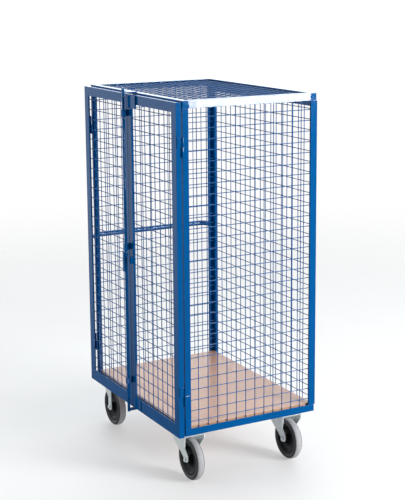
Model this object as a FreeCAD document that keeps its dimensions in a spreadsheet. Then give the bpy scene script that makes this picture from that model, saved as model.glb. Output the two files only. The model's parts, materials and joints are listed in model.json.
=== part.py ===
import math
import os
import re

import FreeCAD
import Part
import Sketcher

# Mesh cage trolley: an angle-iron cage with a wooden deck, two mesh doors closed by a lock rod,
# a push handle and four castors.
# +X is the end away from the handle, -Y the door side, +Z up, and the floor is at Z = 0.
# Dimensions in the sheet are measured from the middle of the chassis; origin_x and origin_y move
# the finished model so that its origin is the middle of its whole box, on the floor.

SIZES = {
    "origin_x": -19.25, "origin_y": -33.5,
    "frame_length": 1000, "frame_width": 700, "frame_bottom": 240, "frame_top": 1780,
    "base_rail": 34, "top_rail": 35, "post_leg": 30, "wall": 3,
    "wire": 4, "mesh_pitch": 50, "mesh_low": 302.4, "mesh_depth": 12, "mesh_edge": 325,
    "rear_bar": 5, "rear_high": 1744,
    "board_length": 970, "board_front": 346, "board_back": 344, "board_bottom": 262, "board_thick": 18,
    "screw_radius": 2.2, "screw_head": 4.5, "screw_length": 24, "screw_row": 250,
    "bearer_width": 40, "bearer_wall": 2, "bearer_left": 115, "bearer_right": 105,
    "door_edge": 503, "door_split": 1.5, "door_back": 357, "door_depth": 27,
    "door_bottom": 237, "door_top": 1774, "stile": 46, "upper_rail": 45, "lower_rail": 60,
    "door_mesh_first": 78.25, "door_mesh_low": 309.8,
    "hinge_x": 507, "hinge_y": 353.5, "barrel_radius": 5.2, "pin_radius": 3, "running_gap": 0.05,
    "knuckle": 44, "knuckle_gap": 1, "leaf_wall": 3, "leaf_reach": 25,
    "door_leaf_gap": 1.5, "post_leaf_gap": 0.5, "hinge_low": 388, "hinge_high": 1531,
    "rod_x": 10, "rod_y": 407.5, "rod_radius": 7, "rod_bottom": 219, "rod_top": 1803,
    "guide_width": 20, "guide_height": 31, "guide_low": 362, "guide_middle": 1028, "guide_high": 1670,
    "collar_radius": 10.5, "collar_bottom": 998, "collar_height": 24,
    "lever_bottom": 924, "lever_width": 14, "lever_wall": 5, "lever_bite": 1,
    "catch_left": 22, "catch_width": 22, "catch_depth": 12, "catch_bottom": 964, "catch_height": 33,
    "plate_left": 24, "plate_width": 80, "plate_height": 60, "low_plate_wall": 3, "top_plate_wall": 8,
    "neck_right": 9,
    "keeper_width": 31, "keeper_wall": 5, "keeper_front": 413, "keeper_back": 343,
    "notch_width": 21, "notch_back": 399, "keeper_drop": 12,
    "handle_height": 990, "handle_side": 335, "handle_reach": 62, "handle_bend": 45,
    "tube_radius": 13.5, "tube_bore": 11.5,
    "wheel_radius": 100, "tyre_half": 21.5, "tyre_inner": 72, "hub_half": 24, "hub_radius": 20,
    "bearing_radius": 10, "axle_radius": 6, "axle_head": 10, "axle_head_height": 8,
    "swivel_x": 392, "trail": 45, "swivel_front": 288, "swivel_rear": 245,
    "fixed_x": 401, "fixed_front": 297, "fixed_rear": 252,
    "plate_length": 135, "plate_depth": 110, "castor_plate": 4,
    "bolt_half_x": 52.5, "bolt_half_y": 40, "bolt_radius": 5, "bolt_hole": 5.5,
    "bolt_head": 8.5, "bolt_head_height": 6.4, "bolt_nut_height": 8, "bolt_reach": 12,
    "fork_wall": 4, "crown_top": 226, "race_radius": 36, "race_gap": 0.3,
    "kingpin_radius": 8, "kingpin_head": 14, "kingpin_head_height": 8,
    "rail_width": 130, "rail_lip": 15,
}

END_MESH_ROWS = 30
REAR_MESH_ROWS = 29
DOOR_MESH_ROWS = 29
DOOR_MESH_COLUMNS = 8
END_MESH_COLUMNS = 14
TOP_MESH_COLUMNS = 20
REAR_MESH_COLUMNS = 19
FULL_TURN = 360

doc = FreeCAD.newDocument("cage_trolley")
sheet = doc.addObject("Spreadsheet::Sheet", "Sizes")
for row, (alias, number) in enumerate(SIZES.items(), start=1):
    sheet.set(f"A{row}", alias)
    sheet.set(f"B{row}", str(number))
    sheet.setAlias(f"B{row}", alias)
doc.recompute()

Vector = FreeCAD.Vector
nodes = []


# ---------------------------------------------------------------- small helpers

def size(alias):
    return float(sheet.get(alias))


def formula(text):
    """An expression in which every word is an alias of the sheet."""
    return re.sub(r"[a-z_]+", r"Sizes.\g<0>", str(text))


def bind(thing, **sizes):
    for name, text in sizes.items():
        thing.setExpression(name, formula(text))


def place(thing, x, y, z, turn=None):
    """Put a piece at x, y, z from the middle of the chassis on the floor."""
    if turn:
        thing.Placement = FreeCAD.Placement(Vector(), turn)
    thing.setExpression("Placement.Base.x", formula(f"{x} - origin_x"))
    thing.setExpression("Placement.Base.y", formula(f"{y} - origin_y"))
    thing.setExpression("Placement.Base.z", formula(z))
    return thing


def node(thing, label):
    thing.Label = label
    nodes.append(thing)
    return thing


ABOUT_X = FreeCAD.Rotation(Vector(1, 0, 0), 90)
ALONG_X = FreeCAD.Rotation(Vector(0, 1, 0), 90)
ALONG_Y = FreeCAD.Rotation(Vector(1, 0, 0), -90)


def box(x, y, z, length, width, height):
    """A box with its low corner at x, y, z."""
    block = doc.addObject("Part::Box", "Block")
    bind(block, Length=length, Width=width, Height=height)
    return place(block, x, y, z)


def rod(x, y, z, radius, length, turn=None):
    """A round bar that starts at x, y, z and runs up, or the way that turn sends +Z."""
    bar = doc.addObject("Part::Cylinder", "Bar")
    bind(bar, Radius=radius, Height=length)
    return place(bar, x, y, z, turn)


def hexagon(x, y, z, radius, height, turn=None):
    prism = doc.addObject("Part::Prism", "Hexagon")
    prism.Polygon = 6
    bind(prism, Circumradius=radius, Height=height)
    return place(prism, x, y, z, turn)


def fuse(*pieces):
    joined = doc.addObject("Part::MultiFuse", "Joined")
    joined.Shapes = list(pieces)
    return joined


def cut(base, *tools):
    result = doc.addObject("Part::Cut", "Cut")
    result.Base = base
    result.Tool = tools[0] if len(tools) == 1 else fuse(*tools)
    return result


def common(first, second):
    shared = doc.addObject("Part::MultiCommon", "Shared")
    shared.Shapes = [first, second]
    return shared


def group(label, shapes):
    """One node that holds several separate solids."""
    doc.recompute()
    feature = doc.addObject("Part::Feature", "Group")
    feature.Shape = Part.makeCompound(shapes)
    return node(feature, label)


# ---------------------------------------------------------------- PartDesign helpers

def new_body(label):
    body = doc.addObject("PartDesign::Body", "Body")
    return node(body, label)


def sketch_on(body, role, height="0"):
    sketch = body.newObject("Sketcher::SketchObject", "Sketch")
    plane = [face for face in body.Origin.OriginFeatures if face.Role == role][0]
    sketch.AttachmentSupport = [(plane, "")]
    sketch.MapMode = "FlatFace"
    sketch.setExpression("AttachmentOffset.Base.z", formula(height))
    return sketch


def distance(sketch, kind, first, second, text):
    """Hold two sketch points apart along one axis by a sheet expression."""
    index = sketch.addConstraint(Sketcher.Constraint(kind, *first, *second, 1.0))
    sketch.setExpression(f"Constraints[{index}]", formula(text))


ORIGIN_POINT = (-1, 1)


def rectangle(sketch, left, right, low, high):
    """A rectangle around the sketch's origin, each side given by its distance from it."""
    corners = [Vector(-9, -9), Vector(9, -9), Vector(9, 9), Vector(-9, 9)]
    for index in range(4):
        sketch.addGeometry(Part.LineSegment(corners[index], corners[(index + 1) % 4]))
    for index in range(4):
        sketch.addConstraint(Sketcher.Constraint("Coincident", index, 2, (index + 1) % 4, 1))
        sketch.addConstraint(Sketcher.Constraint(("Horizontal", "Vertical")[index % 2], index))
    distance(sketch, "DistanceX", (0, 1), ORIGIN_POINT, left)
    distance(sketch, "DistanceY", (0, 1), ORIGIN_POINT, low)
    distance(sketch, "DistanceX", ORIGIN_POINT, (2, 1), right)
    distance(sketch, "DistanceY", ORIGIN_POINT, (2, 1), high)


def circle(sketch, radius, x_side, x, y_side, y):
    """A circle whose centre is x and y from the origin, on the sides +1 or -1."""
    centre = Vector(9 * x_side, 9 * y_side)
    index = sketch.addGeometry(Part.Circle(centre, Vector(0, 0, 1), 1))
    for kind, side, text in (("DistanceX", x_side, x), ("DistanceY", y_side, y)):
        ends = [ORIGIN_POINT, (index, 3)]
        if side < 0:
            ends.reverse()
        distance(sketch, kind, ends[0], ends[1], text)
    ring = sketch.addConstraint(Sketcher.Constraint("Radius", index, 1.0))
    sketch.setExpression(f"Constraints[{ring}]", formula(radius))


def pad(body, sketch, length):
    feature = body.newObject("PartDesign::Pad", "Pad")
    feature.Profile = sketch
    bind(feature, Length=length)
    doc.recompute()
    return feature


def pocket_up(body, sketch, length):
    """Cut upward from the sketch, and make sure that something was cut."""
    before = body.Shape.Volume
    feature = body.newObject("PartDesign::Pocket", "Pocket")
    feature.Profile = sketch
    feature.Reversed = True
    bind(feature, Length=length)
    doc.recompute()
    if body.Shape.Volume >= before - 1:
        raise RuntimeError(f"a pocket of {body.Label} cuts nothing")
    return feature


def angle_ring(label, half_x, low, high, depth, rails, flange_on_top):
    """A ring of angle iron: a leg round the outside and a flat flange on one face.

    half_x, low and high say how far the outside lies from the ring's origin, and rails gives
    the face width of the sides, the low rail and the high rail.
    """
    side, low_rail, high_rail = rails
    body = new_body(label)
    outside = sketch_on(body, "XY_Plane")
    rectangle(outside, half_x, half_x, low, high)
    pad(body, outside, depth)
    opening = sketch_on(body, "XY_Plane")
    rectangle(
        opening, f"{half_x} - {side}", f"{half_x} - {side}",
        f"{low} - {low_rail}", f"{high} - {high_rail}",
    )
    pocket_up(body, opening, depth)
    hollow = sketch_on(body, "XY_Plane", "0" if flange_on_top else "wall")
    rectangle(hollow, f"{half_x} - wall", f"{half_x} - wall", f"{low} - wall", f"{high} - wall")
    pocket_up(body, hollow, f"{depth} - wall")
    return body


def revolve(body, edges):
    """Turn a closed profile, drawn as radius across and width up, round the Y axis."""
    sketch = sketch_on(body, "XY_Plane")
    for edge in edges:
        sketch.addGeometry(edge)
    feature = body.newObject("PartDesign::Revolution", "Revolution")
    feature.Profile = sketch
    feature.ReferenceAxis = (sketch, ["V_Axis"])
    feature.Angle = FULL_TURN
    doc.recompute()


def outline(points):
    """Edges of a closed profile; a third point before the end of an edge makes it an arc."""
    edges = []
    start = Vector(*points[-1][-1])
    for step in points:
        end = Vector(*step[-1])
        if len(step) == 2:
            edges.append(Part.Arc(start, Vector(*step[0]), end))
        else:
            edges.append(Part.LineSegment(start, end))
        start = end
    return edges


def extrusion(points, to_space, direction, length):
    """A prism from a flat outline; to_space turns an outline point into a point of the model."""
    sides = [edge.toShape() for edge in outline(points)]
    flat = doc.addObject("Part::Feature", "Outline")
    flat.Shape = Part.Face(Part.Wire(sides)).transformed(to_space)
    prism = doc.addObject("Part::Extrusion", "Prism")
    prism.Base = flat
    prism.DirMode = "Custom"
    prism.Dir = direction
    prism.Solid = True
    prism.Symmetric = True
    bind(prism, LengthFwd=length)
    return prism


# ---------------------------------------------------------------- frame

base_frame = angle_ring(
    "base_frame", "frame_length / 2", "frame_width / 2", "frame_width / 2", "base_rail",
    ("base_rail", "base_rail", "base_rail"), flange_on_top=False,
)
bolt_holes = sketch_on(base_frame, "XY_Plane")
for bolt_side in (-1, 1):
    circle(
        bolt_holes, "bolt_hole", 1, f"swivel_x + {bolt_side} * bolt_half_x",
        -1, "swivel_front + bolt_half_y",
    )
    circle(
        bolt_holes, "bolt_hole", -1, f"fixed_x + {bolt_side} * bolt_half_x",
        -1, "fixed_front + bolt_half_y",
    )
pocket_up(base_frame, bolt_holes, "wall")
place(base_frame, 0, 0, "frame_bottom")

top_frame = angle_ring(
    "top_frame", "frame_length / 2", "frame_width / 2", "frame_width / 2", "top_rail",
    ("post_leg", "post_leg", "post_leg"), flange_on_top=True,
)
place(top_frame, 0, 0, "frame_top - top_rail")

# The rear frame is open at the bottom, where its wires stand on the base frame.
REAR_HALF = "(rear_high / 2 - frame_bottom / 2 - base_rail / 2)"
REAR_OPENING_HALF = "frame_length / 2 - post_leg"
rear_frame = new_body("rear_frame")
rear_outside = sketch_on(rear_frame, "XY_Plane")
rectangle(rear_outside, "frame_length / 2", "frame_length / 2", REAR_HALF, REAR_HALF)
pad(rear_frame, rear_outside, "rear_bar")
rear_opening = sketch_on(rear_frame, "XY_Plane")
rectangle(
    rear_opening, REAR_OPENING_HALF, REAR_OPENING_HALF, f"{REAR_HALF} + wall", f"{REAR_HALF} - post_leg",
)
pocket_up(rear_frame, rear_opening, "rear_bar")
place(
    rear_frame, 0, "frame_width / 2 + rear_bar",
    "rear_high / 2 + frame_bottom / 2 + base_rail / 2", ABOUT_X,
)

POST_BOTTOM = "frame_bottom + base_rail"
POST_HEIGHT = "frame_top - top_rail - frame_bottom - base_rail"
for post_name, x_side, y_side in (
    ("post_right_front", 1, -1), ("post_right_rear", 1, 1),
    ("post_left_front", -1, -1), ("post_left_rear", -1, 1),
):
    corner_x = "frame_length / 2 - post_leg" if x_side > 0 else "-frame_length / 2"
    corner_y = "frame_width / 2 - post_leg" if y_side > 0 else "-frame_width / 2"
    inside_x = corner_x if x_side > 0 else f"{corner_x} + wall"
    inside_y = corner_y if y_side > 0 else f"{corner_y} + wall"
    post = cut(
        box(corner_x, corner_y, POST_BOTTOM, "post_leg", "post_leg", POST_HEIGHT),
        box(inside_x, inside_y, POST_BOTTOM, "post_leg - wall", "post_leg - wall", POST_HEIGHT),
    )
    node(post, post_name)


# ---------------------------------------------------------------- deck and castor rails

def castor_rail(label, centre, castor_rows):
    """A hat channel across the chassis that carries one pair of castors and one end of the deck."""
    span = "frame_width - 2 * base_rail"
    front = "-frame_width / 2 + base_rail"
    height = "board_bottom - frame_bottom"
    outside = box(f"{centre} - rail_width / 2", front, "frame_bottom", "rail_width", span, height)
    trough = box(
        f"{centre} - rail_width / 2 + wall", front, "frame_bottom + wall",
        "rail_width - 2 * wall", span, f"{height} - 2 * wall",
    )
    mouth = box(
        f"{centre} - rail_width / 2 + rail_lip", front, "frame_bottom + wall",
        "rail_width - 2 * rail_lip", span, height,
    )
    holes = []
    for bolt_x, bolt_y in castor_rows:
        holes.append(rod(bolt_x, bolt_y, "frame_bottom", "bolt_hole", "wall"))
    for screw_x, screw_y in deck_screw_spots(centre):
        holes.append(rod(screw_x, screw_y, "board_bottom - wall", "screw_radius", "wall"))
    return node(cut(outside, trough, mouth, *holes), label)


def deck_screw_spots(centre):
    """Places of the screws that hold the board to the lips of one castor rail."""
    lip_middle = "rail_width / 2 - rail_lip / 2"
    return [
        (f"{centre} + {x_side} * ({lip_middle})", f"{y_side} * screw_row")
        for x_side in (-1, 1) for y_side in (-1, 1)
    ]


def castor_bolt_spots(centre, row_y, sides=(-1, 1)):
    """Bolt places of the castor whose middle is at X = centre and Y = row_y."""
    return [
        (f"{centre} + {x_side} * bolt_half_x", f"{row_y} + {y_side} * bolt_half_y")
        for x_side in (-1, 1) for y_side in sides
    ]


# The outermost bolts of the front castors go through the base frame, the others through a rail.
swivel_rail_bolts = castor_bolt_spots("swivel_x", "-swivel_front", (1,))
swivel_rail_bolts += castor_bolt_spots("swivel_x", "swivel_rear")
fixed_rail_bolts = castor_bolt_spots("-fixed_x", "-fixed_front", (1,))
fixed_rail_bolts += castor_bolt_spots("-fixed_x", "fixed_rear")
castor_rail("castor_rail_swivel", "swivel_x", swivel_rail_bolts)
castor_rail("castor_rail_fixed", "-fixed_x", fixed_rail_bolts)

bearer_tubes = []
bearer_screws = []
for bearer_x in ("-bearer_left", "bearer_right"):
    tube = box(
        f"{bearer_x} - bearer_width / 2", "-frame_width / 2 + wall", "frame_bottom + wall",
        "bearer_width", "frame_width - 2 * wall", "board_bottom - frame_bottom - wall",
    )
    bore = box(
        f"{bearer_x} - bearer_width / 2 + bearer_wall", "-frame_width / 2 + wall",
        "frame_bottom + wall + bearer_wall", "bearer_width - 2 * bearer_wall",
        "frame_width - 2 * wall", "board_bottom - frame_bottom - wall - 2 * bearer_wall",
    )
    spots = [(bearer_x, "-screw_row"), (bearer_x, "screw_row")]
    holes = [rod(x, y, "board_bottom - bearer_wall", "screw_radius", "bearer_wall") for x, y in spots]
    bearer_tubes.append(cut(tube, bore, *holes))
    bearer_screws += spots
doc.recompute()
group("deck_bearers", [tube.Shape for tube in bearer_tubes])

screw_spots = deck_screw_spots("swivel_x") + deck_screw_spots("-fixed_x") + bearer_screws
board = box(
    "-board_length / 2", "-board_front", "board_bottom",
    "board_length", "board_front + board_back", "board_thick",
)
BOARD_TOP = "board_bottom + board_thick"


def countersunk(x, y, bottom, length):
    """A countersunk screw with its head flush with the board."""
    head = doc.addObject("Part::Cone", "Head")
    bind(head, Radius1="screw_radius", Radius2="screw_head", Height="screw_head - screw_radius")
    place(head, x, y, f"{BOARD_TOP} - screw_head + screw_radius")
    return fuse(rod(x, y, bottom, "screw_radius", length), head)


board_holes = [countersunk(x, y, "board_bottom", "board_thick") for x, y in screw_spots]
screws = [countersunk(x, y, f"{BOARD_TOP} - screw_length", "screw_length") for x, y in screw_spots]
node(cut(board, *board_holes), "deck_board")
doc.recompute()
group("deck_screws", [screw.Shape for screw in screws])


# ---------------------------------------------------------------- welded wire mesh

def wire_row(count, step, start, length, turn):
    """Parallel wires from start, each a step further on, as shapes in the model's frame."""
    wires = []
    for index in range(count):
        wire = Part.makeCylinder(size("wire") / 2, length)
        wire.Placement = FreeCAD.Placement(start + step * index, turn)
        wires.append(wire)
    return wires


ORIGIN = Vector(size("origin_x"), size("origin_y"), 0)
UP = FreeCAD.Rotation()
PITCH = size("mesh_pitch")
HALF_LENGTH = size("frame_length") / 2
HALF_WIDTH = size("frame_width") / 2
WALL = size("wall")
WIRE = size("wire")
INSIDE_BOTTOM = size("frame_bottom") + WALL
INSIDE_TOP = size("frame_top") - WALL

for mesh_name, x_side in (("end_mesh_right", 1), ("end_mesh_left", -1)):
    upright_x = x_side * (HALF_LENGTH - size("mesh_depth"))
    cross_x = x_side * (HALF_LENGTH - size("mesh_depth") - WIRE)
    uprights = wire_row(
        END_MESH_COLUMNS, Vector(0, PITCH, 0),
        Vector(upright_x, -size("mesh_edge"), INSIDE_BOTTOM) - ORIGIN, INSIDE_TOP - INSIDE_BOTTOM, UP,
    )
    crosses = wire_row(
        END_MESH_ROWS, Vector(0, 0, PITCH),
        Vector(cross_x, -HALF_WIDTH + WALL, size("mesh_low")) - ORIGIN, 2 * (HALF_WIDTH - WALL), ALONG_Y,
    )
    group(mesh_name, uprights + crosses)

REAR_INNER = HALF_LENGTH - size("post_leg")
REAR_LOW = size("frame_bottom") + size("base_rail")
REAR_HIGH = size("rear_high") - size("post_leg")
REAR_OUTER_Y = HALF_WIDTH + size("rear_bar") - WIRE / 2
rear_crosses = wire_row(
    REAR_MESH_ROWS, Vector(0, 0, PITCH),
    Vector(-REAR_INNER, REAR_OUTER_Y, size("mesh_low")) - ORIGIN, 2 * REAR_INNER, ALONG_X,
)
rear_uprights = wire_row(
    REAR_MESH_COLUMNS, Vector(PITCH, 0, 0),
    Vector(-PITCH * (REAR_MESH_COLUMNS - 1) / 2, REAR_OUTER_Y - WIRE, REAR_LOW) - ORIGIN,
    REAR_HIGH - REAR_LOW, UP,
)
group("rear_mesh", rear_crosses + rear_uprights)

TOP_REACH = HALF_LENGTH - size("mesh_depth") - 2 * WIRE
TOP_EDGE = PITCH * (TOP_MESH_COLUMNS - 1) / 2
top_lengthways = wire_row(
    END_MESH_COLUMNS, Vector(0, PITCH, 0),
    Vector(-TOP_REACH, -size("mesh_edge"), INSIDE_TOP - WIRE / 2) - ORIGIN, 2 * TOP_REACH, ALONG_X,
)
top_crossways = wire_row(
    TOP_MESH_COLUMNS, Vector(PITCH, 0, 0),
    Vector(-TOP_EDGE, -size("mesh_edge") - WIRE, INSIDE_TOP - 1.5 * WIRE) - ORIGIN,
    2 * (size("mesh_edge") + WIRE), ALONG_Y,
)
group("top_mesh", top_lengthways + top_crossways)


# ---------------------------------------------------------------- doors and hinges

DOOR_HALF_WIDTH = "(door_edge / 2 - door_split / 2)"
DOOR_HALF_HEIGHT = "(door_top / 2 - door_bottom / 2)"
MESH_OVERLAP = 10

for side_name, side in (("right", 1), ("left", -1)):
    frame = angle_ring(
        f"{side_name}_door_frame", DOOR_HALF_WIDTH, DOOR_HALF_HEIGHT, DOOR_HALF_HEIGHT, "door_depth",
        ("stile", "lower_rail", "upper_rail"), flange_on_top=True,
    )
    place(
        frame, f"{side} * (door_edge + door_split) / 2", "-door_back",
        "(door_top + door_bottom) / 2", ABOUT_X,
    )

    face_y = -size("door_back") - size("door_depth") + WALL
    wires_low = size("door_bottom") + size("lower_rail") - MESH_OVERLAP
    wires_high = size("door_top") - size("upper_rail") + MESH_OVERLAP
    near = size("door_split") + size("stile") - MESH_OVERLAP
    far = size("door_edge") - size("stile") + MESH_OVERLAP
    uprights = wire_row(
        DOOR_MESH_COLUMNS, Vector(side * PITCH, 0, 0),
        Vector(side * size("door_mesh_first"), face_y + WIRE / 2, wires_low) - ORIGIN,
        wires_high - wires_low, UP,
    )
    crosses = wire_row(
        DOOR_MESH_ROWS, Vector(0, 0, PITCH),
        Vector(near if side > 0 else -far, face_y + 1.5 * WIRE, size("door_mesh_low")) - ORIGIN,
        far - near, ALONG_X,
    )
    group(f"{side_name}_door_mesh", uprights + crosses)

    knuckles = []
    for hinge_bottom in ("hinge_low", "hinge_high"):
        upper = f"{hinge_bottom} + knuckle + knuckle_gap"
        leaf_x = "door_edge" if side > 0 else "-door_edge - leaf_wall"
        knuckles.append(cut(
            fuse(
                rod(f"{side} * hinge_x", "-hinge_y", upper, "barrel_radius", "knuckle"),
                box(
                    leaf_x, "-hinge_y - door_leaf_gap - leaf_reach", upper,
                    "leaf_wall", "leaf_reach", "knuckle",
                ),
            ),
            rod(f"{side} * hinge_x", "-hinge_y", upper, "pin_radius + running_gap", "knuckle"),
        ))
    doc.recompute()
    group(f"{side_name}_door_hinges", [knuckle.Shape for knuckle in knuckles])

hinge_brackets = []
hinge_pins = []
for side in (1, -1):
    for hinge_bottom in ("hinge_low", "hinge_high"):
        leaf_x = "frame_length / 2" if side > 0 else "-frame_length / 2 - leaf_wall"
        hinge_brackets.append(cut(
            fuse(
                rod(f"{side} * hinge_x", "-hinge_y", hinge_bottom, "barrel_radius", "knuckle"),
                box(
                    leaf_x, "-hinge_y - post_leaf_gap", hinge_bottom,
                    "leaf_wall", "leaf_reach", "knuckle",
                ),
            ),
            rod(f"{side} * hinge_x", "-hinge_y", hinge_bottom, "pin_radius", "knuckle"),
        ))
        hinge_pins.append(rod(
            f"{side} * hinge_x", "-hinge_y", hinge_bottom, "pin_radius", "2 * knuckle - knuckle_gap",
        ))
doc.recompute()
group("hinge_brackets", [bracket.Shape for bracket in hinge_brackets])
group("hinge_pins", [pin.Shape for pin in hinge_pins])


# ---------------------------------------------------------------- lock rod, lever, catch and keepers

DOOR_FACE = "-door_back - door_depth"
lock_rod = rod("rod_x", "-rod_y", "rod_bottom", "rod_radius", "rod_top - rod_bottom")
node(lock_rod, "lock_rod")

lever = cut(
    fuse(
        rod("rod_x", "-rod_y", "collar_bottom", "collar_radius", "collar_height"),
        box(
            "rod_x - lever_width / 2", "-rod_y - collar_radius - lever_wall + lever_bite", "lever_bottom",
            "lever_width", "lever_wall", "collar_bottom + collar_height - lever_bottom",
        ),
    ),
    rod("rod_x", "-rod_y", "collar_bottom", "rod_radius", "collar_height"),
)
node(lever, "lock_lever")

guides = []
for guide_bottom in ("guide_low", "guide_middle", "guide_high"):
    block = fuse(
        box(
            "rod_x - guide_width / 2", "-rod_y - guide_width / 2", guide_bottom,
            "guide_width", "guide_width", "guide_height",
        ),
        box(
            "door_split", "-rod_y", guide_bottom,
            "neck_right - door_split", "rod_y - door_back - door_depth", "guide_height",
        ),
    )
    guides.append(cut(
        block, rod("rod_x", "-rod_y", guide_bottom, "rod_radius + 2 * running_gap", "guide_height"),
    ))
doc.recompute()
group("rod_guides", [guide.Shape for guide in guides])

catch = cut(
    box(
        "catch_left", f"{DOOR_FACE} - catch_depth", "catch_bottom",
        "catch_width", "catch_depth", "catch_height",
    ),
    box(
        "catch_left", f"{DOOR_FACE} - catch_depth + wall", "catch_bottom + wall",
        "catch_width - wall", "catch_depth - 2 * wall", "catch_height - 2 * wall",
    ),
)
node(catch, "lever_catch")

corner_plates = []
for plate_bottom, plate_wall in (
    ("door_bottom + wall", "low_plate_wall"), ("door_top - wall - plate_height", "top_plate_wall"),
):
    corner_plates.append(box(
        "plate_left", f"{DOOR_FACE} - {plate_wall}", plate_bottom, "plate_width", plate_wall, "plate_height",
    ))
doc.recompute()
group("right_door_plates", [plate.Shape for plate in corner_plates])


def keeper_nose(level):
    """A flat nose with a notch that the end of the lock rod leaves when the door opens."""
    return cut(
        box(
            "0", "-keeper_front", level,
            "keeper_width", "keeper_front - keeper_back", "keeper_wall",
        ),
        box("0", "-keeper_front", level, "notch_width", "keeper_front - notch_back", "keeper_wall"),
    )


node(keeper_nose("frame_top"), "top_keeper")

bottom_keeper = fuse(
    keeper_nose("frame_bottom - keeper_drop"),
    box(
        "0", "-frame_width / 2", "frame_bottom - keeper_drop",
        "keeper_width", "frame_width / 2 - keeper_back", "keeper_drop",
    ),
)
node(bottom_keeper, "bottom_keeper")


# ---------------------------------------------------------------- push handle

handle = new_body("push_handle")
spine = sketch_on(handle, "XY_Plane")
side_y = size("handle_side")
reach = size("handle_reach")
bend = size("handle_bend")
knee = bend * (1 - math.sqrt(0.5))
start_bend = Vector(bend - reach, -side_y)
end_bend = Vector(-reach, bend - side_y)
mirror_start = Vector(-reach, side_y - bend)
mirror_end = Vector(bend - reach, side_y)
spine.addGeometry(Part.LineSegment(Vector(0, -side_y), start_bend))
spine.addGeometry(Part.Arc(start_bend, Vector(knee - reach, knee - side_y), end_bend))
spine.addGeometry(Part.LineSegment(end_bend, mirror_start))
spine.addGeometry(Part.Arc(mirror_start, Vector(knee - reach, side_y - knee), mirror_end))
spine.addGeometry(Part.LineSegment(mirror_end, Vector(0, side_y)))
for kind, radius in (
    ("PartDesign::AdditivePipe", "tube_radius"),
    ("PartDesign::SubtractivePipe", "tube_bore"),
):
    section = sketch_on(handle, "YZ_Plane")
    circle(section, radius, -1, "handle_side", 1, 0)
    pipe = handle.newObject(kind, "Tube")
    pipe.Profile = section
    pipe.Spine = spine
    doc.recompute()
place(handle, "-frame_length / 2", 0, "handle_height")


# ---------------------------------------------------------------- castors

TYRE_INNER = size("tyre_inner")
RADIUS = size("wheel_radius")
HALF = size("tyre_half")
SEAT = HALF - 4.5
SHOULDER = RADIUS - 4
ROUNDING = RADIUS - 8.5
SIDEWALL = RADIUS - 15
CROWN_HALF = 0.68 * HALF
ROUNDING_HALF = 0.9 * HALF
RIM_FLANGE = TYRE_INNER - 10
RIM_WEB = 4


def wheel(castor, x, y):
    """Rubber tyre, plastic rim and roller bearing of one wheel, and its axle bolt."""
    axle_z = "wheel_radius"
    tyre = new_body(f"{castor}_tyre")
    revolve(tyre, outline([
        [(TYRE_INNER, -SEAT)],
        [(SIDEWALL, -HALF)],
        [(ROUNDING, -ROUNDING_HALF), (SHOULDER, -CROWN_HALF)],
        [(RADIUS, 0), (SHOULDER, CROWN_HALF)],
        [(ROUNDING, ROUNDING_HALF), (SIDEWALL, HALF)],
        [(TYRE_INNER, SEAT)],
    ]))
    place(tyre, x, y, axle_z)

    rim = new_body(f"{castor}_rim")
    hub = size("hub_radius")
    hub_half = size("hub_half")
    bore = size("bearing_radius")
    revolve(rim, outline([
        [(bore, -hub_half)], [(hub, -hub_half)], [(hub, -RIM_WEB)], [(RIM_FLANGE, -RIM_WEB)],
        [(RIM_FLANGE, -SEAT)], [(TYRE_INNER, -SEAT)], [(TYRE_INNER, SEAT)], [(RIM_FLANGE, SEAT)],
        [(RIM_FLANGE, RIM_WEB)], [(hub, RIM_WEB)], [(hub, hub_half)], [(bore, hub_half)],
    ]))
    place(rim, x, y, axle_z)

    bearing = cut(
        rod(x, f"{y} - hub_half", axle_z, "bearing_radius", "2 * hub_half", ALONG_Y),
        rod(x, f"{y} - hub_half", axle_z, "axle_radius + running_gap", "2 * hub_half", ALONG_Y),
    )
    node(bearing, f"{castor}_bearing")

    leg_face = f"{FORK_GAP} + fork_wall"
    shank = f"2 * ({leg_face}) + axle_head_height"
    bolt = fuse(
        rod(x, f"{y} - ({leg_face})", axle_z, "axle_radius", shank, ALONG_Y),
        hexagon(
            x, f"{y} - ({leg_face}) - axle_head_height", axle_z,
            "axle_head", "axle_head_height", ALONG_Y,
        ),
    )
    nut = cut(
        hexagon(x, f"{y} + ({leg_face})", axle_z, "axle_head", "axle_head_height", ALONG_Y),
        rod(x, f"{y} + ({leg_face})", axle_z, "axle_radius", "axle_head_height", ALONG_Y),
    )
    doc.recompute()
    group(f"{castor}_axle", [bolt.Shape, nut.Shape])


FORK_GAP = 27
LEG_LOW = 78
SWIVEL_WAIST = 49
FIXED_WAIST = 38
FRONT_DIRECTION = Vector(1, 0, 0)
SIDE_DIRECTION = Vector(0, 1, 0)
BLANK = 300


def pressed_legs(front_profile, side_profile, x, y):
    """Two pressed legs: the shape seen along X and the shape seen along Y, taken together."""
    centre = Vector(x, y, 0) - ORIGIN
    seen_along_x = FreeCAD.Matrix(0, 0, 1, centre.x, 1, 0, 0, centre.y, 0, 1, 0, 0)
    seen_along_y = FreeCAD.Matrix(1, 0, 0, centre.x, 0, 0, -1, centre.y, 0, 1, 0, 0)
    return common(
        extrusion(front_profile, seen_along_x, FRONT_DIRECTION, BLANK),
        extrusion(side_profile, seen_along_y, SIDE_DIRECTION, BLANK),
    )


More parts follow.
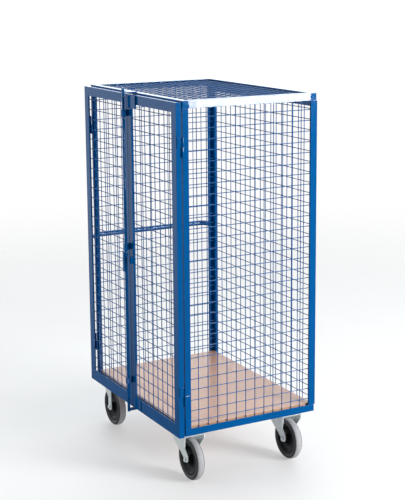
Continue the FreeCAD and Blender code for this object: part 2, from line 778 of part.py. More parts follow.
def leg_front_view(waist, knees, top, brim):
    """Outline of the two legs, the web over them and an optional brim, seen along X."""
    knee_low, knee_high = knees
    wall = size("fork_wall")
    outer = FORK_GAP + wall
    wide = waist + wall
    right = [
        (FORK_GAP, LEG_LOW), (outer, LEG_LOW), (outer, knee_low), (wide, knee_high),
    ]
    if brim:
        right += [(wide, top - wall), (brim, top - wall)]
    right += [(brim or wide, top)]
    left = [(-across, up) for across, up in reversed(right)]
    inside = [(-FORK_GAP, knee_low), (-waist, knee_high), (-waist, top - wall)]
    back = [(-across, up) for across, up in reversed(inside)]
    return [[point] for point in right + left + inside + back]


def axle_bore(x, y):
    return rod(x, f"{y} - plate_depth", "wheel_radius", "axle_radius", "2 * plate_depth", ALONG_Y)


castor_plate_bottom = "frame_bottom - castor_plate"
CROWN_TOP = size("crown_top")
TRAIL = size("trail")
AXLE_EYE = 20
EYE_DROP = 13
SWIVEL_KNEES = (125, 205)

swivel_side_view = [
    [(AXLE_EYE, RADIUS + 20)],
    [(AXLE_EYE, RADIUS)],
    [(0, RADIUS - EYE_DROP), (-AXLE_EYE, RADIUS)],
    [(-62, 134)], [(-90, 172)], [(-90, CROWN_TOP)], [(34, CROWN_TOP)], [(34, 205)], [(8, 160)],
]
for castor, row_y in (("swivel_front", -size("swivel_front")), ("swivel_rear", size("swivel_rear"))):
    row_text = "-swivel_front" if row_y < 0 else "swivel_rear"
    plate = new_body(f"{castor}_plate")
    plate_sketch = sketch_on(plate, "XY_Plane")
    rectangle(plate_sketch, "plate_length / 2", "plate_length / 2", "plate_depth / 2", "plate_depth / 2")
    pad(plate, plate_sketch, "castor_plate")
    plate_holes = sketch_on(plate, "XY_Plane")
    for x_side in (-1, 1):
        for y_side in (-1, 1):
            circle(plate_holes, "bolt_hole", x_side, "bolt_half_x", y_side, "bolt_half_y")
    pocket_up(plate, plate_holes, "castor_plate")
    place(plate, "swivel_x", row_text, castor_plate_bottom)

    race_bottom = "crown_top + race_gap"
    race_height = f"{castor_plate_bottom} - ({race_bottom})"
    race = cut(
        rod("swivel_x", row_text, race_bottom, "race_radius", race_height),
        rod("swivel_x", row_text, race_bottom, "kingpin_radius", race_height),
    )
    node(race, f"{castor}_race")

    head_bottom = "crown_top - fork_wall - race_gap - kingpin_head_height"
    kingpin = fuse(
        rod("swivel_x", row_text, head_bottom, "kingpin_radius", f"{castor_plate_bottom} - ({head_bottom})"),
        hexagon("swivel_x", row_text, head_bottom, "kingpin_head", "kingpin_head_height"),
    )
    node(kingpin, f"{castor}_kingpin")

    legs = pressed_legs(
        leg_front_view(SWIVEL_WAIST, SWIVEL_KNEES, CROWN_TOP, None),
        swivel_side_view, size("swivel_x") + TRAIL, row_y,
    )
    fork = cut(
        legs,
        rod(
            "swivel_x", row_text, "crown_top - 2 * fork_wall",
            "kingpin_radius + running_gap", "3 * fork_wall",
        ),
        axle_bore("swivel_x + trail", row_text),
    )
    node(fork, f"{castor}_fork")
    wheel(castor, "swivel_x + trail", row_text)

FIXED_TOP = size("frame_bottom")
FIXED_HALF = size("plate_length") / 2
FIXED_EYE = 18
FIXED_KNEES = (150, 200)
BRIM_UNDERSIDE = FIXED_TOP - size("fork_wall")
# The legs widen upward but stay between the bolts of the brim.
LEG_SHOULDER = 42
fixed_side_view = [
    [(FIXED_EYE, 150)],
    [(FIXED_EYE, RADIUS)],
    [(0, RADIUS - FIXED_EYE), (-FIXED_EYE, RADIUS)],
    [(-FIXED_EYE, 150)], [(-LEG_SHOULDER, 215)], [(-LEG_SHOULDER, BRIM_UNDERSIDE)],
    [(-FIXED_HALF, BRIM_UNDERSIDE)], [(-FIXED_HALF, FIXED_TOP)],
    [(FIXED_HALF, FIXED_TOP)], [(FIXED_HALF, BRIM_UNDERSIDE)],
    [(LEG_SHOULDER, BRIM_UNDERSIDE)], [(LEG_SHOULDER, 215)],
]
for castor, row_y in (("fixed_front", -size("fixed_front")), ("fixed_rear", size("fixed_rear"))):
    row_text = "-fixed_front" if row_y < 0 else "fixed_rear"
    legs = pressed_legs(
        leg_front_view(FIXED_WAIST, FIXED_KNEES, FIXED_TOP, size("plate_depth") / 2),
        fixed_side_view, -size("fixed_x"), row_y,
    )
    bracket_holes = [
        rod(bolt_x, bolt_y, castor_plate_bottom, "bolt_hole", "castor_plate")
        for bolt_x, bolt_y in castor_bolt_spots("-fixed_x", row_text)
    ]
    bracket = cut(legs, *bracket_holes, axle_bore("-fixed_x", row_text))
    node(bracket, f"{castor}_bracket")
    wheel(castor, "-fixed_x", row_text)

castor_bolts = []
for centre, row_text in (
    ("swivel_x", "-swivel_front"), ("swivel_x", "swivel_rear"),
    ("-fixed_x", "-fixed_front"), ("-fixed_x", "fixed_rear"),
):
    for bolt_x, bolt_y in castor_bolt_spots(centre, row_text):
        castor_bolts.append(fuse(
            hexagon(
                bolt_x, bolt_y, f"{castor_plate_bottom} - bolt_head_height",
                "bolt_head", "bolt_head_height",
            ),
            rod(bolt_x, bolt_y, castor_plate_bottom, "bolt_radius", "castor_plate + wall + bolt_reach"),
            hexagon(bolt_x, bolt_y, "frame_bottom + wall", "bolt_head", "bolt_nut_height"),
        ))
doc.recompute()
group("castor_bolts", [bolt.Shape for bolt in castor_bolts])


# ---------------------------------------------------------------- checks and export

doc.recompute()
for thing in doc.Objects:
    if "Invalid" in thing.State or "Error" in thing.State:
        raise RuntimeError(f"{thing.Name} ({thing.Label}) failed")
for part in nodes:
    if part.Shape.isNull() or not part.Shape.isValid() or not part.Shape.Solids:
        raise RuntimeError(f"{part.Label} has no valid solid")

whole = FreeCAD.BoundBox()
for part in nodes:
    whole.add(part.Shape.optimalBoundingBox())
print("nodes", len(nodes), "box", whole)
if abs(whole.Center.x) > 0.01 or abs(whole.Center.y) > 0.01 or abs(whole.ZMin) > 0.01:
    raise RuntimeError(f"origin_x and origin_y are off by {whole.Center.x:.3f} and {whole.Center.y:.3f}")

os.makedirs("parts", exist_ok=True)
for part in nodes:
    part.Shape.exportStep(f"parts/{part.Label}.step")
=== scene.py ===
import json
import math
import random

import bmesh
import bpy
from mathutils import Matrix, Vector


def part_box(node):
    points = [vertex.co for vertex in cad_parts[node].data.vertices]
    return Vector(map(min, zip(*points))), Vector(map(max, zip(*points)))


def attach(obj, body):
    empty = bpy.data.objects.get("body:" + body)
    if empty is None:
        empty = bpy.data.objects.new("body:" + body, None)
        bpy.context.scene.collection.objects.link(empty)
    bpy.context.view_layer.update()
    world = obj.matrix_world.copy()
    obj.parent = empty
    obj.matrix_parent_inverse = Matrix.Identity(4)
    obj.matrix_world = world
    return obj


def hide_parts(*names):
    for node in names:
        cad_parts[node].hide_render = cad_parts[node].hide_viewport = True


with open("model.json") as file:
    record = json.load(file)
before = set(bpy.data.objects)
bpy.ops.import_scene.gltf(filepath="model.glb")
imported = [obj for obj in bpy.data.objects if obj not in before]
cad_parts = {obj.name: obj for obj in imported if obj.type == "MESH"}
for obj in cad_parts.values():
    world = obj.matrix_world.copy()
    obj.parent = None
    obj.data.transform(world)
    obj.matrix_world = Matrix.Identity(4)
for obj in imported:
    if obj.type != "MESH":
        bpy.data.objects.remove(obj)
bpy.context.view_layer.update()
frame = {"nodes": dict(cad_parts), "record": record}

# The mesh cage trolley in metres: +X away from the push handle, -Y the doors, +Z up.
NODES = frame["nodes"]
BODIES = frame["record"]["behaviour"]["bodies"]
NODE_BODY = {node: body for body, members in BODIES.items() for node in members}
NODE_SLOT = {part["node"]: part["material_slot"] for part in frame["record"]["subparts"]}
CASTORS = ("swivel_front", "swivel_rear", "fixed_front", "fixed_rear")
X, Y, Z = 0, 1, 2
WHITE = (1, 1, 1, 1)
rng = random.Random(7)


def centre_of(node):
    """The middle of a node's box at rest."""
    low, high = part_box(node)
    return (Vector(low) + Vector(high)) / 2


# ---------------------------------------------------------------- shader helpers

class Shader:
    """A material with one Principled node and short ways to add the nodes that feed it."""

    def __init__(self, name, color, roughness, **settings):
        self.material = bpy.data.materials.new(name)
        self.material.use_nodes = True
        self.tree = self.material.node_tree
        self.surface = self.tree.nodes["Principled BSDF"]
        self.surface.inputs["Base Color"].default_value = (*color, 1)
        self.surface.inputs["Roughness"].default_value = roughness
        for socket, value in settings.items():
            self.surface.inputs[socket.replace("_", " ")].default_value = value
        self.place = self.add("ShaderNodeTexCoord").outputs["Object"]

    def add(self, kind, **values):
        """A new node of a kind, with its settings."""
        node = self.tree.nodes.new(kind)
        for key, value in values.items():
            setattr(node, key, value)
        return node

    def link(self, source, target):
        self.tree.links.new(source, target)

    def stretched(self, scale):
        """Object coordinates scaled per axis."""
        mapping = self.add("ShaderNodeMapping")
        mapping.inputs["Scale"].default_value = scale
        self.link(self.place, mapping.inputs["Vector"])
        return mapping.outputs["Vector"]

    def noise(self, scale, detail, where=None, distortion=0.0):
        """Noise with features about 1 / scale metres wide."""
        node = self.add("ShaderNodeTexNoise")
        node.inputs["Scale"].default_value = scale
        node.inputs["Detail"].default_value = detail
        node.inputs["Distortion"].default_value = distortion
        self.link(where or self.place, node.inputs["Vector"])
        return node.outputs["Fac"]

    def ramp(self, factor, first, second, start=0.3, end=0.7):
        """A ramp from one colour or grey, at start, to another, at end."""
        node = self.add("ShaderNodeValToRGB")
        stops = ((start, first), (end, second))
        for element, (position, value) in zip(node.color_ramp.elements, stops):
            element.position = position
            element.color = (*value, 1) if isinstance(value, tuple) else (value, value, value, 1)
        self.link(factor, node.inputs["Fac"])
        return node.outputs["Color"]

    def math(self, operation, first, second=0.0, clamp=False):
        """Arithmetic on numbers or sockets."""
        node = self.add("ShaderNodeMath", operation=operation, use_clamp=clamp)
        for index, value in enumerate((first, second)):
            if isinstance(value, (int, float)):
                node.inputs[index].default_value = value
            else:
                self.link(value, node.inputs[index])
        return node.outputs["Value"]

    def color(self, source):
        self.link(source, self.surface.inputs["Base Color"])

    def roughness(self, source):
        self.link(source, self.surface.inputs["Roughness"])

    def bump(self, height, depth):
        """Bump of the given depth in metres."""
        node = self.add("ShaderNodeBump")
        node.inputs["Distance"].default_value = depth
        self.link(height, node.inputs["Height"])
        self.link(node.outputs["Normal"], self.surface.inputs["Normal"])


def blend_colors(shader, factor, first, second):
    """Mix two colour sockets; factor is a number or a socket."""
    node = shader.add("ShaderNodeMix", data_type="RGBA")
    for socket, value in (("Factor", factor), ("A", first), ("B", second)):
        target = [plug for plug in node.inputs if plug.name == socket and plug.enabled][0]
        if isinstance(value, float):
            target.default_value = value
        else:
            shader.link(value, target)
    return [plug for plug in node.outputs if plug.enabled][0]


# ---------------------------------------------------------------- materials

PEEL_DEPTH = 0.000015
LEAN = 0.030
CORNER_FADE = 0.006
RAIL_HALF_LENGTH = 0.322
GRAIN_STRETCH = (14.0, 260.0, 260.0)
FIGURE_STRETCH = (1.6, 11.0, 11.0)
GRAIN_SHARE = 0.45
FLOOR_CLEAR = 1.6
FLOOR_RADIUS = 7.0
# The floor's emission is painted light: a glow that lifts the floor's shadows.
PAINTED_FLOOR_GLOW = 0.37


def rail_lean(shader):
    """A bump height that leans the top frame's end rails by LEAN, except near their corners."""
    centre = centre_of("top_frame")
    parts = shader.add("ShaderNodeSeparateXYZ")
    shader.link(shader.place, parts.inputs["Vector"])
    above = shader.math("SUBTRACT", parts.outputs["Z"], centre.z)
    sideways = shader.math("SUBTRACT", parts.outputs["Y"], centre.y)
    along = shader.math("ABSOLUTE", sideways)
    reach = shader.math("SUBTRACT", RAIL_HALF_LENGTH, along)
    between = shader.math("MULTIPLY", reach, 1 / CORNER_FADE, clamp=True)
    leaning = shader.math("MULTIPLY", above, -LEAN / PEEL_DEPTH)
    return shader.math("MULTIPLY", leaning, between)


def blue_paint(name="blue_paint", leaning=False, roughness=(0.06, 0.11)):
    """Glossy powder coat: a little orange peel, faint cloudiness and a few dull patches."""
    shader = Shader(name, (0.0, 0.087, 0.285), 0.09, IOR=1.5)
    clouds = shader.noise(9.0, 4.0)
    shader.color(shader.ramp(clouds, (0.0, 0.082, 0.27), (0.0, 0.091, 0.30)))
    shader.roughness(shader.ramp(shader.noise(38.0, 3.0), *roughness, start=0.35))
    peel = shader.noise(620.0, 1.5)
    if leaning:
        peel = shader.math("ADD", rail_lean(shader), peel)
    shader.bump(peel, PEEL_DEPTH)
    return shader.material


def deck_board():
    """Beech-faced board: pores along the deck, soft figure, plies on the cut edges."""
    shader = Shader("deck_board", (0.60, 0.35, 0.24), 0.22, IOR=1.5)
    grain = shader.noise(1.0, 6.0, shader.stretched(GRAIN_STRETCH), 0.2)
    figure = shader.noise(1.0, 3.0, shader.stretched(FIGURE_STRETCH), 0.6)
    tone = blend_colors(
        shader, GRAIN_SHARE,
        shader.ramp(grain, (0.60, 0.335, 0.22), (0.625, 0.352, 0.235)),
        shader.ramp(figure, (0.56, 0.31, 0.20), (0.62, 0.35, 0.235)),
    )
    normal = shader.add("ShaderNodeNewGeometry").outputs["Normal"]
    parts = shader.add("ShaderNodeSeparateXYZ")
    shader.link(normal, parts.inputs["Vector"])
    upward = shader.math("ABSOLUTE", parts.outputs["Z"])
    plies = shader.add("ShaderNodeTexWave", wave_type="BANDS", bands_direction="Z")
    plies.inputs["Scale"].default_value = 55.0
    plies.inputs["Distortion"].default_value = 1.2
    shader.link(shader.place, plies.inputs["Vector"])
    bands = plies.outputs["Fac"]
    edge = shader.ramp(bands, (0.50, 0.29, 0.17), (0.66, 0.42, 0.28), start=0.2, end=0.8)
    shader.color(blend_colors(shader, upward, edge, tone))
    shader.roughness(shader.ramp(grain, 0.26, 0.24))
    shader.bump(grain, 0.000006)
    return shader.material


def zinc():
    """Bright zinc plating with a faint blue-green cast and soft stamping marks."""
    shader = Shader("zinc", (0.90, 0.96, 0.96), 0.36, Metallic=0.05, IOR=1.9)
    shader.color(shader.ramp(shader.noise(70.0, 3.0), (0.86, 0.94, 0.95), (0.94, 0.98, 0.98)))
    shader.roughness(shader.ramp(shader.noise(160.0, 2.0), 0.24, 0.4))
    shader.bump(shader.noise(420.0, 2.0), 0.00004)
    return shader.material


def yellow_zinc():
    """Yellow-passivated plating on the deck screws, close to the board in tone."""
    shader = Shader("yellow_zinc", (0.50, 0.31, 0.20), 0.5, Metallic=0.2)
    shader.color(shader.ramp(shader.noise(240.0, 2.0), (0.44, 0.27, 0.17), (0.54, 0.34, 0.22)))
    shader.roughness(shader.ramp(shader.noise(300.0, 2.0), 0.44, 0.58))
    return shader.material


def bearing_steel():
    """Bare steel with fine darker mottling."""
    shader = Shader("bearing_steel", (0.35, 0.35, 0.36), 0.4, Metallic=0.9)
    shader.color(shader.ramp(shader.noise(200.0, 2.0), (0.28, 0.28, 0.29), (0.42, 0.42, 0.43)))
    return shader.material


def rubber(name, dark, light, roughness):
    """Rubber with fine speckle; dark and light are the ends of its tone."""
    shader = Shader(name, light, roughness, IOR=1.45)
    shader.color(shader.ramp(shader.noise(90.0, 5.0), dark, light))
    shader.roughness(shader.ramp(shader.noise(45.0, 2.0), roughness - 0.08, roughness + 0.1))
    shader.bump(shader.noise(900.0, 2.0), 0.00008)
    return shader.material


def black_plastic():
    """Moulded black plastic with a fine grain."""
    shader = Shader("black_plastic", (0.008, 0.008, 0.009), 0.45, IOR=1.45)
    tone = shader.ramp(shader.noise(60.0, 3.0), (0.005, 0.005, 0.006), (0.014, 0.014, 0.015))
    shader.color(tone)
    shader.bump(shader.noise(1200.0, 1.0), 0.00005)
    return shader.material


def floor_paint():
    """Pale floor that fades into the white surroundings with distance, with a painted glow that
    lifts its shadows.
    """
    base = (0.53, 0.53, 0.525)
    shader = Shader("floor_paint", base, 0.55, IOR=1.3, Emission_Strength=PAINTED_FLOOR_GLOW)
    shader.surface.inputs["Emission Color"].default_value = WHITE
    shader.color(shader.ramp(shader.noise(1.4, 3.0), (0.52, 0.52, 0.515), (0.54, 0.54, 0.535)))
    distance = shader.add("ShaderNodeVectorMath", operation="LENGTH")
    shader.link(shader.place, distance.inputs[0])
    fade = shader.add("ShaderNodeMapRange", interpolation_type="SMOOTHSTEP")
    fade.inputs["From Min"].default_value = FLOOR_CLEAR
    fade.inputs["From Max"].default_value = FLOOR_RADIUS
    shader.link(distance.outputs["Value"], fade.inputs["Value"])
    see_through = shader.add("ShaderNodeBsdfTransparent")
    mixed = shader.add("ShaderNodeMixShader")
    shader.link(fade.outputs["Result"], mixed.inputs["Fac"])
    shader.link(shader.surface.outputs["BSDF"], mixed.inputs[1])
    shader.link(see_through.outputs["BSDF"], mixed.inputs[2])
    output = shader.tree.nodes["Material Output"]
    shader.link(mixed.outputs["Shader"], output.inputs["Surface"])
    return shader.material


MATERIALS = {
    "blue_paint": blue_paint(),
    "deck_board": deck_board(),
    "zinc": zinc(),
    "bearing_steel": bearing_steel(),
    "grey_rubber": rubber("grey_rubber", (0.055, 0.055, 0.058), (0.085, 0.085, 0.09), 0.5),
    "black_plastic": black_plastic(),
}
LEANING_PAINT = blue_paint("blue_paint_top_rail", leaning=True)
WIRE_PAINT = blue_paint("blue_paint_wires", roughness=(0.34, 0.42))
# The tread's pale rubber is painted light and the sidewall's dark rubber is painted shade: both
# stand for one grey rubber, with the key light on the tread.
TREAD_PAINTED_LIGHT = rubber("tread_rubber_painted_light", (0.37, 0.37, 0.39), (0.46, 0.46, 0.48), 0.6)


# ---------------------------------------------------------------- camera

PHOTO_LONG_SIDE = 500.0
FOCAL_PIXELS = 1234.8
AXIS_ABOVE_CENTRE = 50.0
CAMERA_AT = Vector((5.2842, -2.7943, 2.3101))
CAMERA_AZIMUTH = math.radians(61.617)
CAMERA_TILT = math.radians(10.233)
CAMERA_ROLL = math.radians(-0.462)


def make_camera():
    """The camera at the fitted place, turned by its azimuth, tilt and roll."""
    lens_data = bpy.data.cameras.new("camera")
    camera = bpy.data.objects.new("camera", lens_data)
    bpy.context.collection.objects.link(camera)
    lens_data.sensor_width = 36.0
    lens_data.lens = FOCAL_PIXELS * lens_data.sensor_width / PHOTO_LONG_SIDE
    lens_data.shift_y = -AXIS_ABOVE_CENTRE / PHOTO_LONG_SIDE
    flat = math.cos(CAMERA_TILT)
    looking = Vector((
        -math.sin(CAMERA_AZIMUTH) * flat,
        math.cos(CAMERA_AZIMUTH) * flat,
        -math.sin(CAMERA_TILT),
    ))
    camera.rotation_mode = "QUATERNION"
    upright = looking.to_track_quat("-Z", "Y").to_matrix()
    camera.rotation_quaternion = (upright @ Matrix.Rotation(CAMERA_ROLL, 3, "Z")).to_quaternion()
    camera.location = CAMERA_AT
    bpy.context.scene.camera = camera


make_camera()


# ---------------------------------------------------------------- light and floor

def area_light(name, place, target, width, height, radiance):
    """A flat light that looks as bright as radiance and faces target."""
    data = bpy.data.lights.new(name, "AREA")
    data.shape = "RECTANGLE"
    data.size = width
    data.size_y = height
    data.energy = radiance * width * height * math.pi
    light = bpy.data.objects.new(name, data)
    bpy.context.collection.objects.link(light)
    light.location = place
    light.rotation_mode = "QUATERNION"
    light.rotation_quaternion = (Vector(target) - Vector(place)).to_track_quat("-Z", "Y")


# The key faces the right end of the cage; its near edge is the one nearest the doors.
KEY_DISTANCE = 5.31
KEY_NEAR_EDGE = 2.2
KEY_LOW_EDGE = 1.38
KEY_WIDTH = 3.0
KEY_HEIGHT = 2.6
KEY_Y = KEY_NEAR_EDGE + KEY_WIDTH / 2
KEY_Z = KEY_LOW_EDGE + KEY_HEIGHT / 2
area_light(
    "key_softbox", (KEY_DISTANCE, KEY_Y, KEY_Z), (0.0, KEY_Y, KEY_Z),
    width=KEY_WIDTH, height=KEY_HEIGHT, radiance=26.0,
)
area_light(
    "top_softbox", (0.2, -0.2, 4.6), (0.0, 0.0, 0.0), width=4.0, height=4.0, radiance=1.6,
)
area_light(
    "door_fill", (-1.2, -4.6, 2.4), (0.0, 0.0, 0.9), width=3.0, height=2.4, radiance=2.0,
)

BACK_WALL = 2.0
LEFT_WALL = 0.65
ROOM = 0.05
DAYLIGHT = (0.9, 0.96, 1, 1)


def surroundings():
    """White to the camera; light from a wall behind, a weaker one at the left and a dim room."""
    world = bpy.data.worlds.new("surroundings")
    bpy.context.scene.world = world
    world.use_nodes = True
    tree = world.node_tree
    nodes, links = tree.nodes, tree.links
    nodes.clear()
    direction = nodes.new("ShaderNodeTexCoord").outputs["Generated"]

    def lobe(axis, start, full, strength):
        """Strength within an angle of axis, fading out from the cosine full to the cosine start."""
        toward = nodes.new("ShaderNodeVectorMath")
        toward.operation = "DOT_PRODUCT"
        toward.inputs[1].default_value = Vector(axis).normalized()
        links.new(direction, toward.inputs[0])
        span = nodes.new("ShaderNodeMapRange")
        span.interpolation_type = "SMOOTHSTEP"
        span.inputs["From Min"].default_value = start
        span.inputs["From Max"].default_value = full
        span.inputs["To Max"].default_value = strength
        links.new(toward.outputs["Value"], span.inputs["Value"])
        return span.outputs["Result"]

    def join(operation, first, second):
        """Arithmetic on a socket and a socket or number."""
        node = nodes.new("ShaderNodeMath")
        node.operation = operation
        links.new(first, node.inputs[0])
        if isinstance(second, float):
            node.inputs[1].default_value = second
        else:
            links.new(second, node.inputs[1])
        return node.outputs["Value"]

    back_wall = lobe((-0.83, 0.42, 0.3), start=0.58, full=0.9, strength=BACK_WALL)
    left_wall = lobe((-0.86, -0.51, 0.05), start=0.70, full=0.97, strength=LEFT_WALL)
    above_floor = lobe((0.0, 0.0, 1.0), start=-0.42, full=-0.14, strength=1.0)
    walls = join("ADD", back_wall, join("MULTIPLY", left_wall, above_floor))
    glow = join("ADD", walls, ROOM)
    lit = nodes.new("ShaderNodeBackground")
    lit.inputs["Color"].default_value = DAYLIGHT
    links.new(glow, lit.inputs["Strength"])
    seen = nodes.new("ShaderNodeBackground")
    seen.inputs["Color"].default_value = WHITE
    seen.inputs["Strength"].default_value = 1.0
    rays = nodes.new("ShaderNodeLightPath")
    mixed = nodes.new("ShaderNodeMixShader")
    links.new(rays.outputs["Is Camera Ray"], mixed.inputs["Fac"])
    links.new(lit.outputs["Background"], mixed.inputs[1])
    links.new(seen.outputs["Background"], mixed.inputs[2])
    output = nodes.new("ShaderNodeOutputWorld")
    links.new(mixed.outputs["Shader"], output.inputs["Surface"])


surroundings()
bpy.context.scene.view_settings.view_transform = "Standard"


def make_floor():
    """A round floor under the cage, left out of the reflections in the paint."""
    mesh = bpy.data.meshes.new("floor")
    builder = bmesh.new()
    bmesh.ops.create_circle(builder, cap_ends=True, segments=96, radius=FLOOR_RADIUS)
    builder.to_mesh(mesh)
    builder.free()
    floor = bpy.data.objects.new("floor", mesh)
    bpy.context.collection.objects.link(floor)
    floor.data.materials.append(floor_paint())
    floor.visible_glossy = False


make_floor()


# ---------------------------------------------------------------- making pieces

SMOOTH_LIMIT = math.radians(35)


def piece(name, vertices, faces, node, materials, replaces=True, face_materials=None):
    """A shown mesh with the given materials that rides with node's body and may stand for it."""
    mesh = bpy.data.meshes.new(name)
    mesh.from_pydata(vertices, [], faces)
    for material in materials:
        mesh.materials.append(material)
    if face_materials:
        mesh.polygons.foreach_set("material_index", face_materials)
    mesh.validate()
    mesh.shade_smooth()
    mesh.set_sharp_from_angle(angle=SMOOTH_LIMIT)
    shape = bpy.data.objects.new(name, mesh)
    bpy.context.collection.objects.link(shape)
    if replaces:
        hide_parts(node)
    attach(shape, NODE_BODY[node])


# ---------------------------------------------------------------- welded mesh

WIRE = 0.002
PITCH = 0.05
SIDES = 10
BENDS = 7
WAVER = 0.00035
NUGGET = 0.0026
NUGGET_SIDES = 6
# The nugget's end rings and its half depth, as shares of its own radius and the wire's.
NUGGET_TAPER = 0.6
NUGGET_DEPTH = 0.55
# Wires in each mesh: level ones and uprights, or for the top crosswise and lengthways ones.
END_WIRES = (30, 14)
REAR_WIRES = (29, 19)
DOOR_WIRES = (29, 8)
TOP_WIRES = (20, 14)
# The lowest rows and each door's first upright, as in the CAD.
FIRST_ROW = 0.3024
FIRST_DOOR_ROW = 0.3098
FIRST_FROM_MEETING_EDGE = 0.04075


def tube_rings(builder, points, radius):
    """Add a round wire through points to the vertex and face lists in builder."""
    vertices, faces = builder
    along = (points[-1] - points[0]).normalized()
    across = along.orthogonal().normalized()
    other = along.cross(across)
    first = len(vertices)
    for point in points:
        for side in range(SIDES):
            angle = 2 * math.pi * side / SIDES
            vertices.append(point + radius * (math.cos(angle) * across + math.sin(angle) * other))
    for ring in range(len(points) - 1):
        for side in range(SIDES):
            a = first + ring * SIDES + side
            b = first + ring * SIDES + (side + 1) % SIDES
            faces.append((a, b, b + SIDES, a + SIDES))
    last = first + (len(points) - 1) * SIDES
    faces.append(tuple(range(first + SIDES - 1, first - 1, -1)))
    faces.append(tuple(range(last, last + SIDES)))


def wire_family(builder, box, along, across, depth, places):
    """Straight wires along one axis of a mesh's box, with the slight waver of real wire."""
    low, high = box
    for place in places:
        points = []
        sway = rng.uniform(-WAVER, WAVER)
        for step in range(BENDS):
            share = step / (BENDS - 1)
            point = Vector((0.0, 0.0, 0.0))
            point[along] = low[along] + share * (high[along] - low[along])
            point[across] = place + sway * math.sin(math.pi * share)
            point[3 - along - across] = depth
            points.append(point)
        tube_rings(builder, points, WIRE)


def nugget(builder, centre, normal_axis):
    """The flattened bead where two wires are welded."""
    vertices, faces = builder
    first = len(vertices)
    across, up = (axis for axis in range(3) if axis != normal_axis)
    for level in (-1, 0, 1):
        ring_radius = NUGGET if level == 0 else NUGGET * NUGGET_TAPER
        for side in range(NUGGET_SIDES):
            angle = 2 * math.pi * side / NUGGET_SIDES
            offset = Vector((0.0, 0.0, 0.0))
            offset[across] = ring_radius * math.cos(angle)
            offset[up] = ring_radius * math.sin(angle)
            offset[normal_axis] = level * WIRE * NUGGET_DEPTH
            vertices.append(centre + offset)
    outline = []
    for level in range(2):
        for side in range(NUGGET_SIDES):
            a = first + level * NUGGET_SIDES + side
            b = first + level * NUGGET_SIDES + (side + 1) % NUGGET_SIDES
            outline.append((a, b, b + NUGGET_SIDES, a + NUGGET_SIDES))
    top = first + 2 * NUGGET_SIDES
    outline.append(tuple(range(top, top + NUGGET_SIDES)))
    outline.append(tuple(range(first + NUGGET_SIDES - 1, first - 1, -1)))
    # The rings run the other way round when the normal is Y.
    faces.extend(face[::-1] if normal_axis == Y else face for face in outline)


def welded_mesh(node, normal_axis, first, first_side, second):
    """Two layers of wires, each (axis, places); the first lies on the box's low or high side."""
    first_axis, first_places = first
    second_axis, second_places = second
    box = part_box(node)
    low, high = box[0][normal_axis] + WIRE, box[1][normal_axis] - WIRE
    first_depth, second_depth = (high, low) if first_side > 0 else (low, high)
    builder = ([], [])
    wire_family(builder, box, first_axis, second_axis, first_depth, first_places)
    wire_family(builder, box, second_axis, first_axis, second_depth, second_places)
    for across in first_places:
        for up in second_places:
            point = Vector((0.0, 0.0, 0.0))
            point[second_axis] = across
            point[first_axis] = up
            point[normal_axis] = (low + high) / 2
            nugget(builder, point, normal_axis)
    piece(f"{node}_wires", *builder, node, [WIRE_PAINT])


def spaced(first, count, step=PITCH):
    """Places that start at first and go on by step."""
    return [first + index * step for index in range(count)]


def centred(node, axis, count):
    """Places at the mesh pitch, centred on a node."""
    return spaced(centre_of(node)[axis] - PITCH * (count - 1) / 2, count)


def weld_meshes():
    """Every mesh of the cage and the doors."""
    rows, uprights = END_WIRES
    for node, outward in (("end_mesh_right", 1), ("end_mesh_left", -1)):
        places = centred(node, Y, uprights)
        welded_mesh(node, X, (Z, places), outward, (Y, spaced(FIRST_ROW, rows)))
    rows, uprights = REAR_WIRES
    places = centred("rear_mesh", X, uprights)
    welded_mesh("rear_mesh", Y, (X, spaced(FIRST_ROW, rows)), 1, (Z, places))
    crosswise, lengthways = TOP_WIRES
    places = centred("top_mesh", X, crosswise)
    welded_mesh("top_mesh", Z, (X, centred("top_mesh", Y, lengthways)), 1, (Y, places))
    rows, uprights = DOOR_WIRES
    # Each door's uprights are counted from its meeting edge, away from the other door.
    for node, meeting_side, away in (("right_door_mesh", 0, 1), ("left_door_mesh", 1, -1)):
        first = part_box(node)[meeting_side][X] + away * FIRST_FROM_MEETING_EDGE
        places = spaced(first, uprights, away * PITCH)
        welded_mesh(node, Y, (Z, places), -1, (X, spaced(FIRST_DOOR_ROW, rows)))


weld_meshes()


# ---------------------------------------------------------------- wheels

LATHE_STEPS = 96
TREAD_FROM = 0.955
RIM_SEAT = 0.017
RIM_ROUNDNESS = 0.2
RIM_ARC_STEPS = 2


def lathe(name, node, profile, materials, face_slots=None):
    """Turn a closed outline of (radius, width) round the wheel's axle, which runs along Y."""
    centre = centre_of(node)
    count = len(profile)
    vertices, faces, slots = [], [], []
    for step in range(LATHE_STEPS):
        angle = 2 * math.pi * step / LATHE_STEPS
        for radius, width in profile:
            spoke = Vector((radius * math.cos(angle), width, radius * math.sin(angle)))
            vertices.append(centre + spoke)
    for step in range(LATHE_STEPS):
        after = (step + 1) % LATHE_STEPS
        for index in range(count):
            following = (index + 1) % count
            faces.append((
                step * count + index, step * count + following,
                after * count + following, after * count + index,
            ))
            slots.append(face_slots[index] if face_slots else 0)
    piece(name, vertices, faces, node, materials, face_materials=slots)


def mirrored(right):
    """A closed outline from its right half, in order of radius."""
    return right + [(radius, -width) for radius, width in reversed(right)]


def rounded(points, roundness, steps):
    """An outline with arcs for corners; roundness is a share of the shorter side."""
    result = []
    count = len(points)
    for index in range(count):
        corner = (points[(index + shift) % count] for shift in (-1, 0, 1))
        before, here, after = (Vector(point) for point in corner)
        reach = roundness * min((before - here).length, (after - here).length)
        start = here + (before - here).normalized() * reach
        end = here + (after - here).normalized() * reach
        for step in range(steps + 1):
            share = step / steps
            point = start.lerp(here, share).lerp(here.lerp(end, share), share)
            result.append((point.x, point.y))
    return result


# The tyre's right half, in shares of its radius and half width.
TYRE_SHAPE = (
    (0.72, 0.70), (0.735, 0.86), (0.765, 0.88), (0.785, 0.80), (0.825, 0.97),
    (0.87, 1.0), (0.925, 0.89), (0.962, 0.68), (0.985, 0.45), (0.997, 0.2),
)


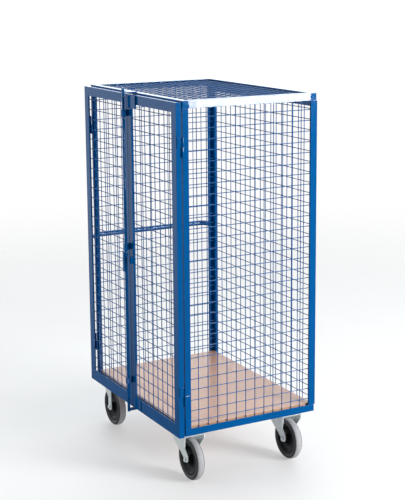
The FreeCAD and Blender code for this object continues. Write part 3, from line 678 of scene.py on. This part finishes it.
def tyre(castor):
    """Tyre with a rounded crown, a raised bead on each side and a tread of far paler rubber than
    the sidewalls, painted light for the key light on the tread.
    """
    node = f"{castor}_tyre"
    low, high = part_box(node)
    radius = (high[Z] - low[Z]) / 2
    half = (high[Y] - low[Y]) / 2
    profile = mirrored([(far * radius, width * half) for far, width in TYRE_SHAPE])
    crown = [index for index, (far, _) in enumerate(profile) if far > TREAD_FROM * radius]
    slots = [1 if crown[0] <= index < crown[-1] else 0 for index in range(len(profile))]
    lathe(f"{node}_rubber", node, profile, [MATERIALS["grey_rubber"], TREAD_PAINTED_LIGHT], slots)


def rim(castor):
    """Moulded rim: a flanged ring, a dished web and a hub."""
    node = f"{castor}_rim"
    low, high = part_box(node)
    radius = (high[Z] - low[Z]) / 2
    hub_half = (high[Y] - low[Y]) / 2
    # From the bore out: the hub, the web and the seat of the tyre.
    profile = mirrored([
        (0.0101, hub_half), (0.019, hub_half), (0.0215, hub_half - 0.004), (0.0235, 0.006),
        (0.040, 0.0045), (0.056, 0.0065), (0.061, RIM_SEAT - 0.003), (0.064, RIM_SEAT),
        (radius, RIM_SEAT),
    ])
    outline = rounded(profile, RIM_ROUNDNESS, RIM_ARC_STEPS)
    lathe(f"{node}_moulding", node, outline, [MATERIALS["black_plastic"]])


for castor_name in CASTORS:
    tyre(castor_name)
    rim(castor_name)


# ---------------------------------------------------------------- weld beads

BEAD = 0.0026
BEAD_STEP = 0.003
BEAD_OVERLAP = 0.7
BEAD_THINNEST = 0.88
# Heights of the post leaves' lower and upper edges, and where along them the beads run.
HINGE_LEVELS = (0.388, 0.432, 1.531, 1.575)
BEAD_FRONT = -0.3195
BEAD_BACK = -0.2975


def weld_bead(builder, start, end):
    """A rippled bead from start to end, as short overlapping lumps."""
    steps = max(3, round((end - start).length / BEAD_STEP))
    half = (end - start) / steps * BEAD_OVERLAP
    for index in range(steps):
        middle = start.lerp(end, (index + 0.5) / steps)
        radius = BEAD * rng.uniform(BEAD_THINNEST, 1.0)
        tube_rings(builder, [middle - half, middle, middle + half], radius)


def hinge_welds():
    """Beads along the lower and upper edges of the leaves that hold the hinges to the posts."""
    builder = ([], [])
    for face_x in (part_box("post_right_front")[1][X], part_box("post_left_front")[0][X]):
        for level in HINGE_LEVELS:
            start = Vector((face_x, BEAD_FRONT, level))
            weld_bead(builder, start, Vector((face_x, BEAD_BACK, level)))
    paint = [MATERIALS["blue_paint"]]
    piece("hinge_welds", *builder, "hinge_brackets", paint, replaces=False)


hinge_welds()


# ---------------------------------------------------------------- painted and plated CAD pieces

EDGE_RADIUS = {
    "blue_paint": 0.0009, "zinc": 0.0008, "deck_board": 0.0012, "bearing_steel": 0.0003,
}
SHARP_EDGE = math.radians(32)
JOIN_DISTANCE = 0.00002
OWN_FINISH = {"top_frame": LEANING_PAINT, "deck_screws": yellow_zinc()}


def finish_cad_nodes():
    """Give every shown CAD node its material and softened edges."""
    for name, shape in NODES.items():
        slot_name = NODE_SLOT[name]
        shape.data.materials.clear()
        shape.data.materials.append(OWN_FINISH.get(name) or MATERIALS[slot_name])
        if shape.hide_render or slot_name not in EDGE_RADIUS:
            continue
        weld = shape.modifiers.new("joined", "WELD")
        weld.merge_threshold = JOIN_DISTANCE
        soft = shape.modifiers.new("edges", "BEVEL")
        soft.width = EDGE_RADIUS[slot_name]
        soft.segments = 2
        soft.limit_method = "ANGLE"
        soft.angle_limit = SHARP_EDGE
        soft.use_clamp_overlap = True
        soft.harden_normals = True


finish_cad_nodes()
